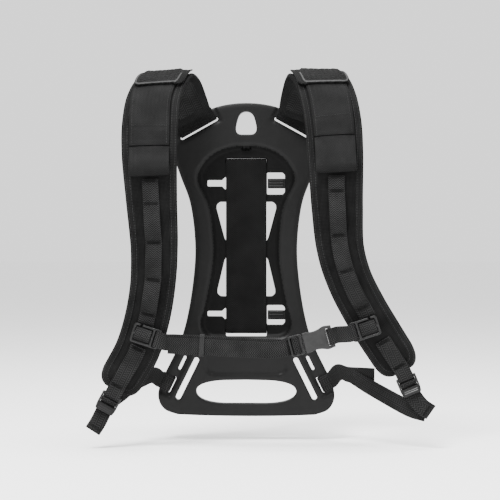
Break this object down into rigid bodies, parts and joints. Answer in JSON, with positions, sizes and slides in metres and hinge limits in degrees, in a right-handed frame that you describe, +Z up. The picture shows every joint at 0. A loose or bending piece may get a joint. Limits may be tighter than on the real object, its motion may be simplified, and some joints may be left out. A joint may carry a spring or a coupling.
{
  "type": "air pack harness",
  "caption": "Backpack harness for an air unit: waisted moulded backplate, padded shoulder straps with daisy-chain webbing, buckled chest strap and lower adjusting webbings.",
  "frame": {"origin": "middle of the backplate's flat rear face at its waist, where the air unit's back rests", "axes": "+Z up, towards the wearer's head; +Y to the rear, away from the wearer; +X to the right as seen from in front of the wearer"},
  "size_m": [0.4277, 0.1449, 0.4556],
  "materials": {
    "plate_plastic": "fine moulded texture, satin",
    "hardware_plastic": "smooth moulded acetal",
    "socket_plastic": "spark-textured moulded plastic",
    "narrow_webbing": "20 mm ribbed polyester webbing",
    "wide_webbing": "flat-woven webbing, nominal 50 mm",
    "pad_fabric": "spacer mesh over foam with bound edges",
    "band_fabric": "close-woven nylon",
    "elastic": "ribbed elastic"
  },
  "bodies": {
    "backplate": {"backplate": "plate_plastic", "centre_strap": "wide_webbing", "strap_anchor_left": "wide_webbing", "strap_anchor_right": "wide_webbing", "lower_loop_left": "narrow_webbing", "lower_loop_right": "narrow_webbing", "lower_webbing_left": "narrow_webbing", "lower_webbing_right": "narrow_webbing"},
    "latch_upper": {"latch_finger_upper": "plate_plastic"},
    "latch_lower": {"latch_finger_lower": "plate_plastic"},
    "shoulder_harness": {"shoulder_pad_left": "pad_fabric", "outer_band_left": "band_fabric", "shoulder_patch_left": "band_fabric", "hose_loop_left": "band_fabric", "daisy_webbing_left": "narrow_webbing", "lock_strip_left": "narrow_webbing", "shoulder_pad_right": "pad_fabric", "outer_band_right": "band_fabric", "shoulder_patch_right": "band_fabric", "hose_loop_right": "band_fabric", "daisy_webbing_right": "narrow_webbing", "lock_strip_right": "narrow_webbing"},
    "ladder_lock_left": {"ladder_lock_left": "hardware_plastic", "webbing_tail_left": "narrow_webbing"},
    "ladder_lock_right": {"ladder_lock_right": "hardware_plastic", "webbing_tail_right": "narrow_webbing"},
    "chest_strap": {"chest_slider_left": "hardware_plastic", "chest_slider_right": "hardware_plastic", "slider_wrap_left": "narrow_webbing", "slider_wrap_right": "narrow_webbing", "chest_webbing_left": "narrow_webbing", "chest_webbing_tail": "narrow_webbing", "chest_webbing_right": "narrow_webbing", "buckle_female": "socket_plastic"},
    "elastic_keeper": {"elastic_keeper": "elastic"},
    "buckle_male": {"buckle_male": "hardware_plastic"},
    "prong_upper": {"buckle_prong_upper": "hardware_plastic"},
    "prong_lower": {"buckle_prong_lower": "hardware_plastic"}
  },
  "joints": [
    {"name": "harness_swing", "type": "hinge", "parent": "backplate", "child": "shoulder_harness", "pos_m": [0, -0.02, 0.171], "axis": [-1, 0, 0], "range_deg": [-10, 30], "deforming": ["lower_webbing_left", "lower_webbing_right"]},
    {"name": "chest_height", "type": "slide", "parent": "shoulder_harness", "child": "chest_strap", "axis": [0, -0.121, 0.9927], "range_m": [-0.008, 0.008]},
    {"name": "buckle_release", "type": "slide", "parent": "chest_strap", "child": "buckle_male", "axis": [-0.9659, 0, -0.2588], "range_m": [0, 0.016], "deforming": ["chest_webbing_left", "chest_webbing_tail"]},
    {"name": "prong_upper_squeeze", "type": "hinge", "parent": "buckle_male", "child": "prong_upper", "pos_m": [0.07079, -0.1245, -0.1069], "axis": [0, 1, 0], "range_deg": [0, 6], "stiffness_Nm_per_rad": 0.05},
    {"name": "prong_lower_squeeze", "type": "hinge", "parent": "buckle_male", "child": "prong_lower", "pos_m": [0.07473, -0.1245, -0.12158], "axis": [0, -1, 0], "range_deg": [0, 6], "stiffness_Nm_per_rad": 0.05},
    {"name": "keeper_slide", "type": "slide", "parent": "chest_strap", "child": "elastic_keeper", "axis": [0.9989, 0, -0.0468], "range_m": [-0.024, 0.06]},
    {"name": "lock_tilt_left", "type": "hinge", "parent": "shoulder_harness", "child": "ladder_lock_left", "pos_m": [-0.16093, -0.10147, -0.1796], "axis": [-0.8768, -0.0434, 0.4789], "range_deg": [0, 25]},
    {"name": "lock_tilt_right", "type": "hinge", "parent": "shoulder_harness", "child": "ladder_lock_right", "pos_m": [0.19773, -0.10121, -0.15638], "axis": [-0.9233, 0.0503, -0.3808], "range_deg": [0, 25]},
    {"name": "latch_upper_flex", "type": "hinge", "parent": "backplate", "child": "latch_upper", "pos_m": [0.0492, -0.0027, 0.084], "axis": [0, 0, 1], "range_deg": [-6, 6], "stiffness_Nm_per_rad": 0.2},
    {"name": "latch_lower_flex", "type": "hinge", "parent": "backplate", "child": "latch_lower", "pos_m": [0.0492, -0.0027, -0.0845], "axis": [0, 0, 1], "range_deg": [-6, 6], "stiffness_Nm_per_rad": 0.2}
  ],
  "couplings": [
    {"joint": "prong_lower_squeeze", "follows": "prong_upper_squeeze", "ratio": 1}
  ]
}
